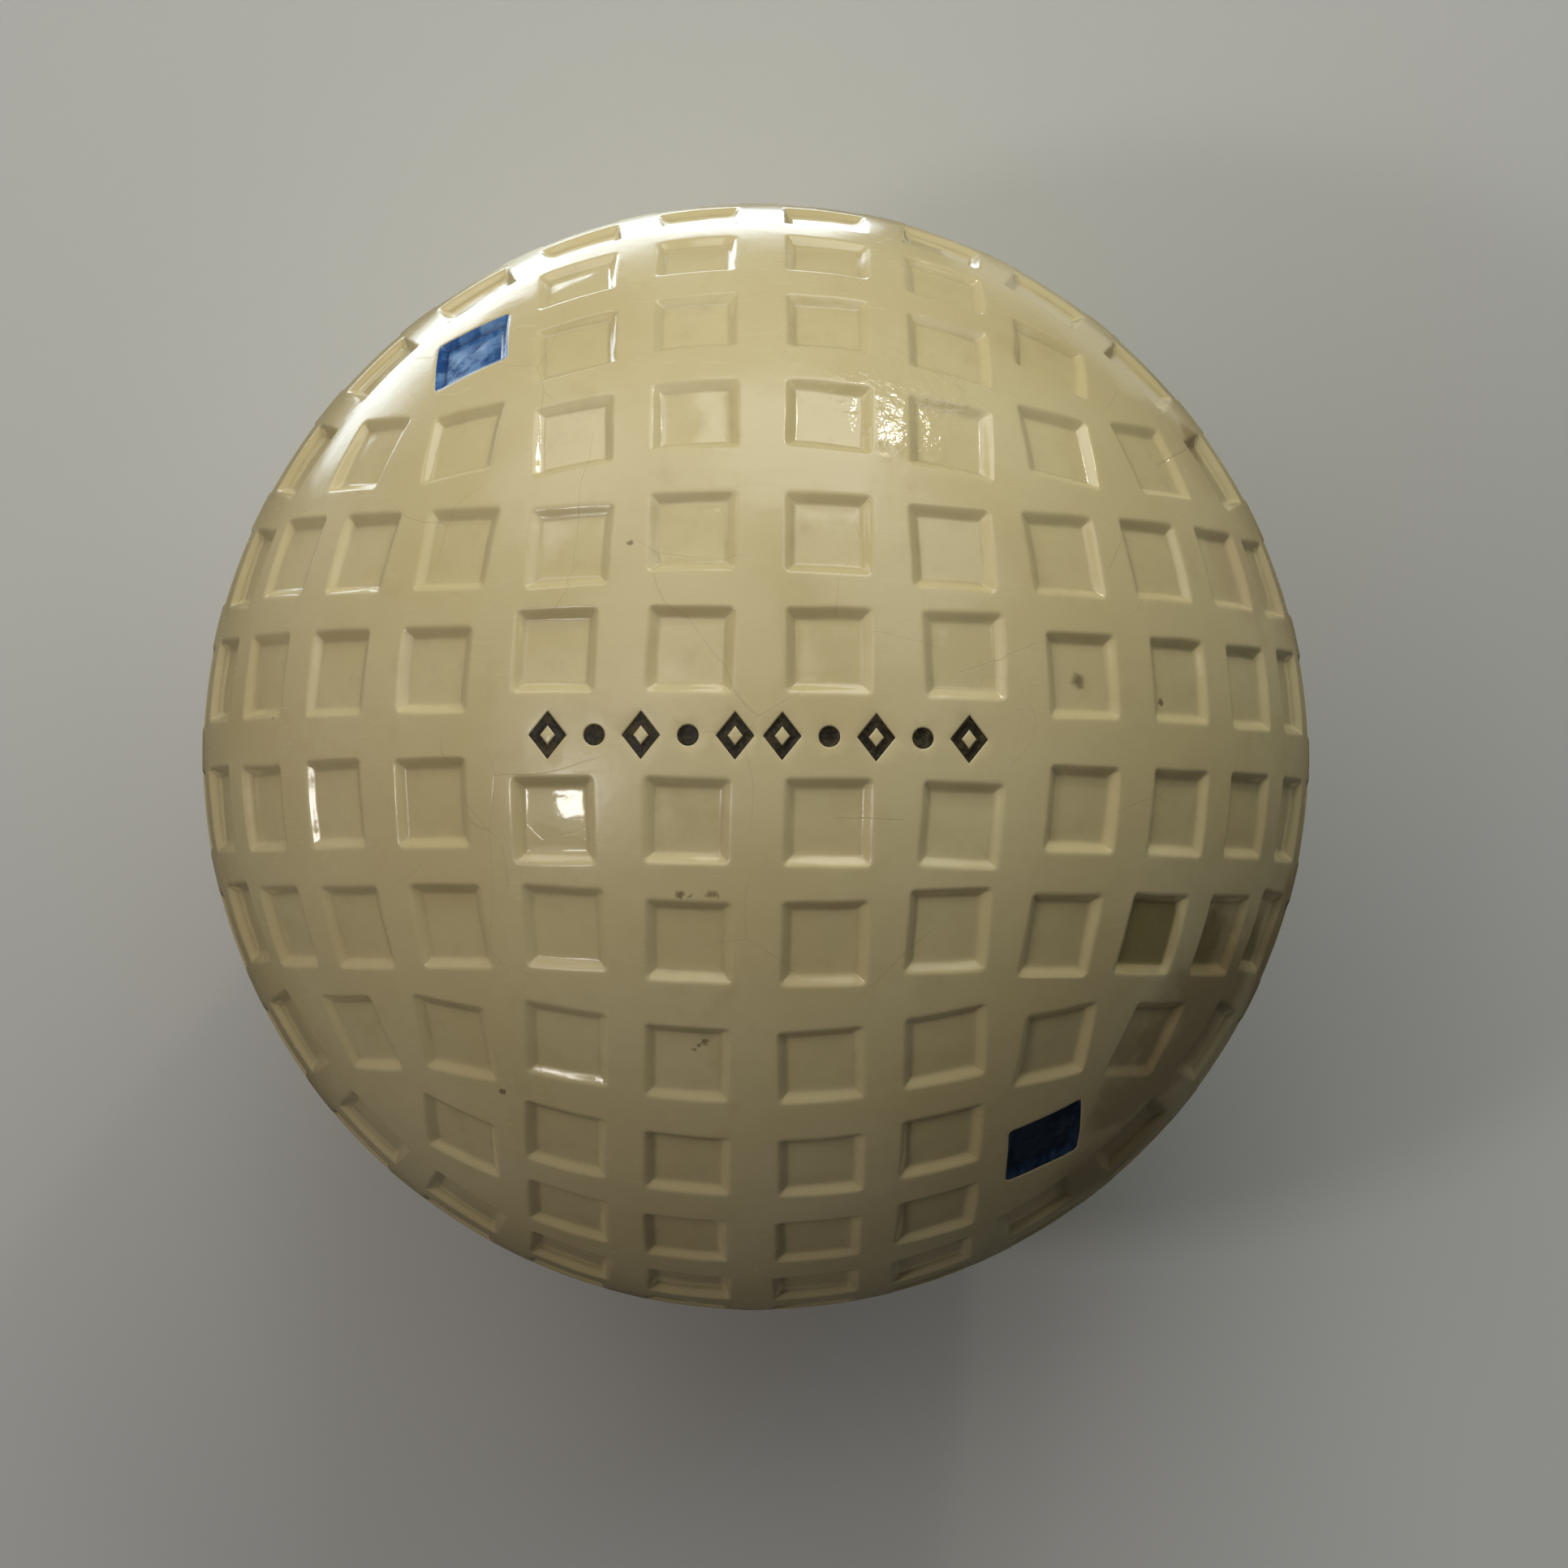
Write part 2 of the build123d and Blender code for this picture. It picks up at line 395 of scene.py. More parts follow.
def side_lines():
    """Lines of points along the octant's three sides, beside the seam and along the marks."""
    marks = [lift(line) for line in mark_lines()]
    mark_stops = [np.degrees(np.arcsin(line[end, 0])) for line in marks for end in (0, -1)]
    row_stops = [90 - np.degrees(np.arcsin(height / RADIUS)) for height in SEAM_ROWS]
    stamp_side = border_angles([*mark_stops, *row_stops])
    plain_side = border_angles(row_stops)
    seam_side = border_angles([])
    lines = [
        np.stack([sin(stamp_side), 0 * stamp_side, cos(stamp_side)], 1),
        np.stack([0 * plain_side, sin(plain_side), cos(plain_side)], 1),
        np.stack([cos(seam_side), sin(seam_side), 0 * seam_side], 1),
    ]
    for height in SEAM_ROWS:
        ring = math.sqrt(1 - (height / RADIUS) ** 2)
        level = np.full(len(seam_side), height / RADIUS)
        lines.append(np.stack([ring * cos(seam_side), ring * sin(seam_side), level], 1))
    return lines + marks


def join_lines(closed, opened):
    """The points of all lines, and the pairs of neighbours along each line."""
    pairs, first = [], 0
    for index, line in enumerate([*closed, *opened]):
        last = first + len(line) - 1
        pairs += [(i, i + 1) for i in range(first, last)]
        if index < len(closed):
            pairs.append((last, first))
        first = last + 1
    return np.concatenate([*closed, *opened]), pairs


def triangulate(directions, pairs):
    """Outward triangles between the octant's points that keep every pair as an edge."""
    centre = unit(np.ones(3))
    right = unit(np.array([1.0, -1.0, 0.0]))
    up = np.cross(centre, right)
    flat = 2 * RADIUS * directions / (1 + directions @ centre)[:, None]
    flat = np.stack([flat @ right, flat @ up], 1)
    _, _, triangles, sources, _, _ = delaunay_2d_cdt([Vector(p) for p in flat], pairs, [], 0, SAME)
    source = np.array([min(s) for s in sources])
    triangles = source[np.array([tuple(t) for t in triangles])]
    corner = flat[triangles]
    one, two = corner[:, 1] - corner[:, 0], corner[:, 2] - corner[:, 0]
    area = one[:, 0] * two[:, 1] - one[:, 1] * two[:, 0]
    triangles[area < 0] = triangles[area < 0][:, ::-1]
    return triangles[np.abs(area) > NOTHING]


def fills_square(triangles, directions, normals, edges, thirds, around):
    """Whether a triangle lies inside one square's outer ring, where its own points go."""
    ring = np.full(len(directions), -1)
    for q in range(len(normals)):
        ring[q * around:(q + 1) * around] = q
    owner = ring[triangles]
    one_ring = (owner[:, 0] == owner[:, 1]) & (owner[:, 0] == owner[:, 2])
    middle = directions[triangles].mean(1)
    mine = np.maximum(owner[:, 0], 0)
    facing = np.einsum("ij,ij->i", middle, normals[mine])
    a = RADIUS * np.einsum("ij,ij->i", middle, edges[mine]) / facing
    b = RADIUS * np.einsum("ij,ij->i", middle, thirds[mine]) / facing
    within = box_distance(a, b, RECESS_HALF, CORNER_RADIUS) < RINGS[0]
    return (owner[:, 0] >= 0) & one_ring & within


def octant_mesh():
    """Points and faces of the first octant: lands first, then each square's own points."""
    squares = octant_squares()
    normals = unit(np.array([s[0] for s in squares]))
    edges = np.array([s[1] for s in squares])
    thirds = np.cross(normals, edges)
    local, distance, patch_faces, around = patch_points()
    outer, inner = local[:around], local[around:]

    def laid_out(points, q):
        across = points[:, :1] * edges[q] + points[:, 1:] * thirds[q]
        return unit(normals[q] + across / RADIUS)

    every = range(len(squares))
    lines, pairs = join_lines([laid_out(outer, q) for q in every], side_lines())
    given = np.concatenate([lines, land_points(normals, edges)])
    given[np.abs(given) < NOTHING] = 0
    triangles = triangulate(given, pairs)
    filling = fills_square(triangles, given, normals, edges, thirds, around)
    faces = [tuple(t) for t in triangles[~filling]]

    # Each square's outer ring is already among the given points; its other points follow.
    rings, extra = len(squares) * around, len(inner)
    square_of = np.full(len(given), -1)
    square_of[:rings] = np.repeat(every, around)
    local_of = np.zeros((len(given), 2))
    local_of[:rings] = np.tile(outer, (len(squares), 1))
    distance_of = np.full(len(given), 1.0)
    distance_of[:rings] = RINGS[0]
    for q in every:
        ring = q * around + np.arange(around)
        place = np.concatenate([ring, len(given) + q * extra + np.arange(extra)])
        faces += [tuple(place[i] for i in face) for face in patch_faces]
    return {
        "directions": np.concatenate([given, *(laid_out(inner, q) for q in every)]),
        "faces": faces,
        "square": np.concatenate([square_of, np.repeat(every, extra)]),
        "local": np.concatenate([local_of, np.tile(inner, (len(squares), 1))]),
        "distance": np.concatenate([distance_of, np.tile(distance[around:], len(squares))]),
        "normals": normals,
        "edges": edges,
        "thirds": thirds,
    }


# ---- One half of the cover ----

def surface(octant, signs, rng):
    """The octant's points in millimetres after mirroring, with each square a little uneven."""
    count = len(octant["normals"])
    shift = rng.normal(0, SHIFT_SPREAD, (count, 2))
    turn = rng.normal(0, TURN_SPREAD, count)
    size = 1 + rng.normal(0, SIZE_SPREAD, (count, 2))
    depth = RECESS_DEPTH * (1 + np.clip(rng.normal(0, DEPTH_SPREAD, count), *DEPTH_LIMITS))
    tilt = rng.normal(0, TILT_SPREAD, (count, 2))

    directions = octant["directions"] * signs
    square, away = octant["square"], octant["distance"]
    inside = square >= 0
    mine = square[inside]
    a, b = octant["local"][inside].T
    hold = 1 - soft_ramp(away[inside] / RINGS[0], HOLD_FILLET)
    spot = directions[inside] * RADIUS
    wobble_a = EDGE_WOBBLE * smooth_noise(spot, EDGE_WOBBLE_CELL, SEED + 1)
    wobble_b = EDGE_WOBBLE * smooth_noise(spot, EDGE_WOBBLE_CELL, SEED + 2)
    turned_a = size[mine, 0] * (a * cos(turn[mine]) - b * sin(turn[mine])) + shift[mine, 0]
    turned_b = size[mine, 1] * (a * sin(turn[mine]) + b * cos(turn[mine])) + shift[mine, 1]
    a = a + hold * (turned_a - a + wobble_a)
    b = b + hold * (turned_b - b + wobble_b)
    n, e, f = (octant[k][mine] * signs for k in ("normals", "edges", "thirds"))
    directions[inside] = unit(n + (a[:, None] * e + b[:, None] * f) / RADIUS)

    radius = np.full(len(directions), RADIUS)
    sunk = depth[mine] + tilt[mine, 0] * a + tilt[mine, 1] * b
    sunk += FLOOR_WAVES * smooth_noise(spot, FLOOR_WAVE_CELL, SEED + 7)
    radius[inside] -= sunk * soft_ramp(-away[inside] / WALL_WIDTH, WALL_FILLET)
    radius -= mark_sinking(mark_distance(octant["directions"]))
    height = octant["directions"][:, 2] * RADIUS
    radius -= SEAM_DEPTH * np.exp(-((height / SEAM_HALF_WIDTH) ** 2))
    return directions * radius[:, None]


def uneven(points):
    """The slight out-of-round shape of an old ball and the waves of brushed paint."""
    outward = unit(points)
    spot = outward * RADIUS
    change = OUT_OF_ROUND * smooth_noise(spot, OUT_OF_ROUND_CELL, SEED + 3) - OUT_OF_ROUND
    change += PAINT_WAVES * smooth_noise(spot, PAINT_WAVE_CELL, SEED + 4)
    change += PAINT_WAVES / 2 * smooth_noise(spot, FINE_PAINT_WAVE_CELL, SEED + 5)
    return points + outward * change[:, None]


def cover_half(octant, side):
    """The outer surface of one half. side is 1 for the top and -1 for the bottom."""
    rng = np.random.default_rng(SEED + (0 if side > 0 else 1))
    points, keys, faces, squares, away = [], [], [], [], []
    start = 0
    for index, (sx, sy) in enumerate(OCTANTS):
        signs = np.array([sx, sy, side])
        points.append(surface(octant, signs, rng))
        keys.append(np.round(octant["directions"] * signs * KEYS_PER_UNIT).astype(np.int64))
        step = 1 if sx * sy * side > 0 else -1
        faces += [tuple(start + i for i in face[::step]) for face in octant["faces"]]
        label = octant["square"] + index * len(octant["normals"])
        squares.append(np.where(octant["square"] < 0, -1, label))
        away.append(octant["distance"])
        start += len(octant["directions"])
    # Points on the border of two octants have the same key and become one point.
    _, first, same = np.unique(
        np.concatenate(keys), axis=0, return_index=True, return_inverse=True
    )
    same = same.ravel()
    used = np.unique(np.concatenate([np.array(face) for face in faces]))
    keep = np.unique(same[used])
    new = np.full(len(first), -1)
    new[keep] = np.arange(len(keep))
    chosen = first[keep]
    ideal = np.concatenate(keys)[chosen] / KEYS_PER_UNIT
    return {
        "points": uneven(np.concatenate(points)[chosen]),
        "ideal": ideal,
        "faces": [tuple(new[same[i]] for i in face) for face in faces],
        "square": np.concatenate(squares)[chosen],
        "distance": np.concatenate(away)[chosen],
        "stroke": mark_distance(ideal),
    }


def close_inside(half, side):
    """Adds the seam's flat face and the smooth inside of the shell, so that it is one solid."""
    points, faces = half["points"], list(half["faces"])
    rim = np.where(np.abs(half["ideal"][:, 2]) < SAME)[0]
    rim = rim[np.argsort(np.arctan2(points[rim, 1], points[rim, 0]))]
    points[rim, 2] = 0
    turn = np.arctan2(points[rim, 1], points[rim, 0])
    around = len(rim)
    inner = []
    for row in range(INSIDE_ROWS):
        height = 90 * row / INSIDE_ROWS
        ring = COVER_INSIDE * cos(height)
        level = np.full(around, side * COVER_INSIDE * sin(height))
        inner.append(np.stack([ring * np.cos(turn), ring * np.sin(turn), level], 1))
    pole = np.array([[0, 0, side * COVER_INSIDE]])
    start = len(points)
    added = []
    for k in range(around):
        after = (k + 1) % around
        added.append((rim[k], start + k, start + after, rim[after]))
        for row in range(INSIDE_ROWS - 1):
            low, high = start + row * around, start + (row + 1) * around
            added.append((low + k, high + k, high + after, low + after))
        last = start + (INSIDE_ROWS - 1) * around
        added.append((last + k, start + INSIDE_ROWS * around, last + after))
    faces += [face[::side] for face in added]
    return np.concatenate([points, *inner, pole]), faces


def film(half, wanted, rise):
    """A thin closed layer over some of a half's faces, which rises by so much at each point."""
    chosen = [face for face in half["faces"] if all(wanted[i] for i in face)]
    used = np.unique(np.concatenate([np.array(face) for face in chosen]))
    new = np.full(len(half["points"]), -1)
    new[used] = np.arange(len(used))
    outward = unit(half["points"][used])
    top = half["points"][used] + outward * rise[used][:, None]
    under = half["points"][used] - outward * UNDER
    count = len(used)
    # An edge of one face only is on the film's border, where a side face closes it.
    faces, sides = [], {}
    for face in chosen:
        face = tuple(new[i] for i in face)
        faces.append(face)
        faces.append(tuple(i + count for i in face[::-1]))
        for one, two in zip(face, face[1:] + face[:1]):
            if (two, one) in sides:
                del sides[(two, one)]
            else:
                sides[(one, two)] = True
    faces += [(two, one, one + count, two + count) for one, two in sides]
    return np.concatenate([top, under]), faces


# ---- Blender objects ----

def make_piece(name, points, faces, material, node, values=None):
    """A mesh piece in the row frame that stands for a CAD node."""
    mesh = bpy.data.meshes.new(name)
    mesh.from_pydata((points * MM).tolist(), [], [tuple(int(i) for i in f) for f in faces])
    mesh.polygons.foreach_set("use_smooth", [True] * len(mesh.polygons))
    for key, value in (values or {}).items():
        layer = mesh.attributes.new(key, "FLOAT", "POINT")
        layer.data.foreach_set("value", value.astype(np.float32))
    mesh.materials.append(material)
    mesh.validate()
    mesh.update()
    piece = bpy.data.objects.new(name, mesh)
    bpy.context.scene.collection.objects.link(piece)
    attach(piece, "root")
    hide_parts(node)


# ---- Materials ----

def new_material(name, roughness, **fixed):
    """A Principled material whose even values are set on the shader itself."""
    material = bpy.data.materials.new(name)
    material.use_nodes = True
    shader = material.node_tree.nodes["Principled BSDF"]
    shader.inputs["Roughness"].default_value = roughness
    for key, value in fixed.items():
        shader.inputs[key.replace("_", " ")].default_value = value
    return material, shader


class Graph:
    """Short names for the texture nodes of one material, in millimetres."""

    def __init__(self, material, shader):
        self.tree = material.node_tree
        self.shader = shader
        coordinates = self.tree.nodes.new("ShaderNodeTexCoord").outputs["Object"]
        self.place = self.vector("SCALE", coordinates, scale=1 / MM)

    def node(self, kind, inputs, **settings):
        made = self.tree.nodes.new(kind)
        for key, value in settings.items():
            setattr(made, key, value)
        for key, value in inputs.items():
            if isinstance(value, bpy.types.NodeSocket):
                self.tree.links.new(value, made.inputs[key])
            else:
                made.inputs[key].default_value = value
        return made

    def vector(self, operation, one, two=None, scale=None):
        inputs = {0: one}
        if two is not None:
            inputs[1] = two
        if scale is not None:
            inputs["Scale"] = scale
        made = self.node("ShaderNodeVectorMath", inputs, operation=operation)
        return made.outputs["Value" if operation in ("DISTANCE", "DOT_PRODUCT") else "Vector"]

    def math(self, operation, one, two=0.0):
        return self.node("ShaderNodeMath", {0: one, 1: two}, operation=operation).outputs[0]

    def between(self, value, low, high, to_low=0.0, to_high=1.0):
        """value mapped from low..high to to_low..to_high, clamped, with soft ends."""
        inputs = {
            "Value": value,
            "From Min": low,
            "From Max": high,
            "To Min": to_low,
            "To Max": to_high,
        }
        made = self.node("ShaderNodeMapRange", inputs, interpolation_type="SMOOTHSTEP")
        return made.outputs["Result"]

    def noise(self, size, detail=3.0, rough=0.5, place=None):
        """Noise whose features are about size millimetres."""
        inputs = {
            "Vector": place or self.place,
            "Scale": 1 / size,
            "Detail": detail,
            "Roughness": rough,
        }
        return self.node("ShaderNodeTexNoise", inputs).outputs["Fac"]

    def warped(self, size, amount, detail=3.0):
        """The place pushed about by noise, for lines that wander."""
        inputs = {"Vector": self.place, "Scale": 1 / size, "Detail": detail}
        made = self.node("ShaderNodeTexNoise", inputs)
        centred = self.vector("SUBTRACT", made.outputs["Color"], (0.5, 0.5, 0.5))
        return self.vector("ADD", self.place, self.vector("SCALE", centred, scale=amount))

    def cracks(self, cell, width, place):
        """1 on the thin lines between cells and 0 away from them."""
        made = self.node(
            "ShaderNodeTexVoronoi",
            {"Vector": place, "Scale": 1 / cell},
            feature="DISTANCE_TO_EDGE",
        )
        return self.between(made.outputs["Distance"], 0.0, width / cell, 1.0, 0.0)

    def spot(self, centre, radius, soft, place=None):
        """1 inside a ball of the given radius and 0 beyond its soft edge."""
        away = self.vector("DISTANCE", place or self.place, centre)
        return self.between(away, radius, radius + soft, 1.0, 0.0)

    def mix(self, amount, one, two):
        made = self.node("ShaderNodeMix", {0: amount, 6: one, 7: two}, data_type="RGBA")
        return made.outputs[2]

    def attribute(self, name):
        return self.node("ShaderNodeAttribute", {}, attribute_name=name).outputs["Fac"]

    def bump(self, height, strength, distance, normal=None):
        inputs = {"Height": height, "Strength": strength, "Distance": distance * MM}
        if normal is not None:
            inputs["Normal"] = normal
        return self.node("ShaderNodeBump", inputs).outputs["Normal"]

    def finish(self, **sockets):
        for key, socket in sockets.items():
            self.tree.links.new(socket, self.shader.inputs[key.replace("_", " ")])


def on_ball(polar, azimuth, sunk=0.0):
    """A place on the ball's surface, or sunk a little below it."""
    radius = RADIUS - sunk
    ring = radius * sin(polar)
    return (ring * cos(azimuth), ring * sin(azimuth), radius * cos(polar))


# Colours of the enamel and of what has settled on it
IVORY = (0.74, 0.60, 0.315, 1)
IVORY_PALE = (0.80, 0.67, 0.378, 1)
IVORY_DEEP = (0.64, 0.495, 0.238, 1)
PATINA = (0.40, 0.28, 0.12, 1)
OLIVE = (0.27, 0.205, 0.062, 1)
PINKISH = (0.66, 0.46, 0.28, 1)
GRIME = (0.16, 0.11, 0.05, 1)
CRACK = (0.22, 0.16, 0.08, 1)

# Marks of age on the stamped half, as (polar angle, azimuth, radius, width of the soft edge)
STAINS_BROWN = (
    (84, -18, 1.2, 4.5),
    (64, -30, 1.0, 4.5),
    (62, -40, 0.6, 4.0),
    (72, -48, 0.8, 4.2),
    (83, 25, 0.4, 3.4),
    (71, 35.5, 0.1, 1.4),
)
STAINS_PINK = ((64, 21, 0.8, 2.2), (76, 16, 0.5, 2.6), (67, 33, 0.2, 2.2))
STAINS_ON_FLOORS = ((48.1, -25.6, 1.4, 0.7), (58.5, -23.0, 0.3, 2.2), (70.0, -21.0, 0.3, 2.5))
SPECKS = (
    (16.9, -115.7, 0.08, 0.14),
    (16.6, -112.8, 0.02, 0.12),
    (15.8, -106.4, 0.02, 0.20),
    (15.7, -104.6, 0.02, 0.16),
    (46.9, -125.4, 0.09, 0.09),
    (22.7, 124.1, 0.06, 0.12),
)
SPECKS_ON_FLOORS = (
    (33.4, 10.9, 0.10, 0.30),
    (43.9, 6.2, 0.10, 0.10),
    (31.2, -99.2, 0.06, 0.14),
    (31.7, -100.2, 0.06, 0.12),
    (32.3, -101.2, 0.04, 0.12),
    (29.6, -103.2, 0.05, 0.12),
)
# Where the enamel has kept its first gloss: a land, and the floor of one recess
POLISHED = ((38.7, 68.4, 1.6, 2.2),)
POLISHED_FLOOR = (21.2, -159.0, 1.6, 0.3)
# The blue square given painted shade, its blue darkened almost to black, as (polar angle, azimuth)
BLUE_SHADED_SQUARE = (57.6, -53.4)
# Hairlines, as (polar angle, azimuth) of both ends and the width
HAIRLINES = (
    ((58.1, 35.7), (68.5, 35.4), 0.05),
    ((20.1, 18.2), (30.4, 19.3), 0.02),
    ((14.0, 48.0), (21.0, 24.0), 0.015),
    ((30.8, -168.9), (27.1, -156.9), 0.025),
    ((27.1, -156.9), (29.0, -148.0), 0.02),
    ((10.2, -49.9), (16.4, -28.4), 0.025),
    ((37.0, 118.0), (24.0, 141.0), 0.015),
)

# Blue paint, and the near-black navy of painted shade in one recess
BLUE_DEEP = (0.025, 0.085, 0.27, 1)
BLUE_STREAK = (0.10, 0.24, 0.50, 1)
BLUE_PATCH = (0.22, 0.38, 0.62, 1)
BLUE_POOLED = (0.010, 0.026, 0.10, 1)
BLUE_WORN = (0.44, 0.53, 0.60, 1)
SHADED_NAVY_DEEP = (0.007, 0.014, 0.030, 1)
SHADED_NAVY_STREAK = (0.022, 0.042, 0.075, 1)

# Ink, and what shows where it has worn
INK = (0.018, 0.013, 0.006, 1)
INK_GREY = (0.055, 0.040, 0.018, 1)
INK_THIN = (0.13, 0.095, 0.045, 1)
INK_GONE = (0.46, 0.37, 0.19, 1)

# The core
PASTE = (0.72, 0.69, 0.60, 1)
PASTE_PALE = (0.80, 0.78, 0.72, 1)
PASTE_GRAIN = (0.55, 0.50, 0.40, 1)
# Rubbers, as (light colour, dark colour, size of the clouds, sheen)
THREAD_RUBBER = ((0.64, 0.52, 0.33, 1), (0.50, 0.38, 0.22, 1), 1.6, 0.2)
TAPE_RUBBER = ((0.50, 0.36, 0.22, 1), (0.36, 0.24, 0.14, 1), 3.0, 0.15)
SAC_RUBBER = ((0.34, 0.11, 0.08, 1), (0.22, 0.06, 0.05, 1), 2.5, 0.1)
PLUG_RUBBER = ((0.28, 0.10, 0.07, 1), (0.16, 0.05, 0.04, 1), 1.0, 0.1)


def most(graph, values):
    """The greatest of several values."""
    total = values[0]
    for value in values[1:]:
        total = graph.math("MAXIMUM", total, value)
    return total


def stains(graph, spots, ragged):
    """The union of several soft spots with edges broken by noise."""
    total = most(graph, [graph.spot(on_ball(p, a), r, soft) for p, a, r, soft in spots])
    return graph.between(graph.math("MULTIPLY", total, ragged), 0.12, 0.8)


def hairline(graph, start, end, width, place):
    """1 along a thin line between two places on the ball."""
    start, end = np.array(on_ball(*start)), np.array(on_ball(*end))
    across = tuple(unit(np.cross(start, end)))
    half_length = float(np.linalg.norm(end - start)) / 2
    aside = graph.math("ABSOLUTE", graph.vector("DOT_PRODUCT", place, across))
    line = graph.between(aside, 0.0, width, 1.0, 0.0)
    along = graph.vector("DISTANCE", place, tuple((start + end) / 2))
    fading = graph.between(along, 0.7 * half_length, half_length, 1.0, 0.0)
    return graph.math("MULTIPLY", line, fading)


def hairlines(graph):
    """Fine crazing in patches, and the longer single cracks."""
    slack = graph.warped(5.0, 1.6, 1.0)
    wide_patches = graph.between(graph.noise(6.0, 1.0), 0.5, 0.62)
    wide = graph.math("MULTIPLY", graph.cracks(8.0, 0.03, slack), wide_patches)
    fine_patches = graph.between(graph.noise(7.0, 1.0, place=slack), 0.56, 0.66, 0.0, 0.6)
    fine = graph.math("MULTIPLY", graph.cracks(3.2, 0.018, slack), fine_patches)
    crazing = graph.math("MULTIPLY", graph.math("MAXIMUM", wide, fine), 0.55)
    near = graph.warped(1.5, 0.35, 2.0)
    single = most(graph, [hairline(graph, *ends, width, near) for *ends, width in HAIRLINES])
    return graph.math("MAXIMUM", crazing, single)


def specks(g):
    """Small dark specks: a few scattered ones, and the ones with a given place."""
    dots = g.node("ShaderNodeTexVoronoi", {"Vector": g.place, "Scale": 1 / 3.4}, feature="F1")
    split = g.node("ShaderNodeSeparateColor", {0: dots.outputs["Color"]})
    few = g.math("GREATER_THAN", split.outputs[0], 0.74)
    small = g.between(dots.outputs["Distance"], 0.012, 0.034, 1.0, 0.0)
    blotchy = g.warped(0.18, 0.3)
    spots = [(on_ball(p, a), r, soft) for p, a, r, soft in SPECKS]
    spots += [(on_ball(p, a, RECESS_DEPTH), r, soft) for p, a, r, soft in SPECKS_ON_FLOORS]
    placed = most(g, [g.spot(*spot, blotchy) for spot in spots])
    return g.math("MAXIMUM", g.math("MULTIPLY", small, few), placed)


def enamel_gloss(g, broad, middle, floor, polished):
    """Roughness of clean enamel: satin lands with scuffs, glossier recesses, polished places."""
    stretched = g.vector("MULTIPLY", g.warped(6.0, 2.0), (0.35, 5.0, 0.6))
    scuffs = g.between(g.noise(1.1, 4.0, place=stretched), 0.58, 0.74)
    satin = g.between(broad, 0.36, 0.64, 0.16, 0.30)
    land = g.math("ADD", satin, g.math("MULTIPLY", scuffs, 0.1))
    recess = g.between(middle, 0.3, 0.75, 0.07, 0.19)
    rough = g.between(g.attribute("recess"), 0.2, 0.9, land, recess)
    rough = g.between(polished, 0.0, 1.0, rough, 0.11)
    p, a, r, soft = POLISHED_FLOOR
    glossy = g.math("MULTIPLY", g.spot(on_ball(p, a, RECESS_DEPTH), r, soft), floor)
    return g.between(glossy, 0.0, 1.0, rough, 0.05)


def enamel_material():
    """Old ivory enamel: satin on the worn lands, glossy in the recesses, stained and crazed."""
    material, shader = new_material("aged_ivory_enamel", 0.3)
    g = Graph(material, shader)
    floor, edge = g.attribute("floor"), g.attribute("grime")
    broad, middle, fine = g.noise(9.0, 4.0), g.noise(2.2, 5.0, 0.6), g.noise(0.35, 4.0, 0.65)
    color = g.mix(g.between(broad, 0.35, 0.68), IVORY, IVORY_PALE)
    color = g.mix(g.between(middle, 0.52, 0.78, 0, 0.45), color, IVORY_DEEP)

    ragged = g.between(middle, 0.25, 0.75, 0.55, 1.35)
    color = g.mix(g.math("MULTIPLY", stains(g, STAINS_PINK, ragged), 0.35), color, PINKISH)
    brown = stains(g, STAINS_BROWN, ragged)
    color = g.mix(g.math("MULTIPLY", brown, 0.75), color, PATINA)
    olive = g.math("MULTIPLY", stains(g, STAINS_ON_FLOORS, ragged), g.attribute("recess"))
    olive = g.math("MULTIPLY", olive, g.between(floor, 0.0, 1.0, 0.35, 0.8))
    color = g.mix(olive, color, OLIVE)

    grime = g.math("MULTIPLY", edge, g.between(middle, 0.3, 0.7, 0.3, 1.0))
    color = g.mix(g.math("MULTIPLY", grime, 0.22), color, GRIME)
    color = g.mix(g.between(fine, 0.56, 0.8, 0.0, 0.2), color, IVORY_DEEP)
    dust = g.between(g.noise(0.8, 4.0, 0.6), 0.5, 0.75, 0.0, 0.1)
    color = g.mix(g.math("MULTIPLY", floor, dust), color, PATINA)
    lines, dots = hairlines(g), specks(g)
    color = g.mix(g.math("MULTIPLY", lines, 0.3), color, CRACK)
    color = g.mix(g.math("MULTIPLY", dots, 0.72), color, GRIME)

    polished = stains(g, POLISHED, ragged)
    rough = enamel_gloss(g, broad, middle, floor, polished)
    for dirt, dulling in ((grime, 0.14), (brown, 0.22), (olive, 0.2)):
        rough = g.math("ADD", rough, g.math("MULTIPLY", dirt, dulling))
    normal = g.bump(fine, 0.12, 0.03)
    normal = g.bump(g.noise(1.1, 2.0), 0.3, 0.05, normal)
    normal = g.bump(g.math("MULTIPLY", g.noise(0.45, 2.0), polished), 0.7, 0.06, normal)
    normal = g.bump(g.math("MULTIPLY", lines, -1.0), 0.3, 0.02, normal)
    normal = g.bump(g.math("MULTIPLY", dots, -1.0), 0.4, 0.03, normal)
    g.finish(Base_Color=color, Roughness=rough, Normal=normal)
    return material


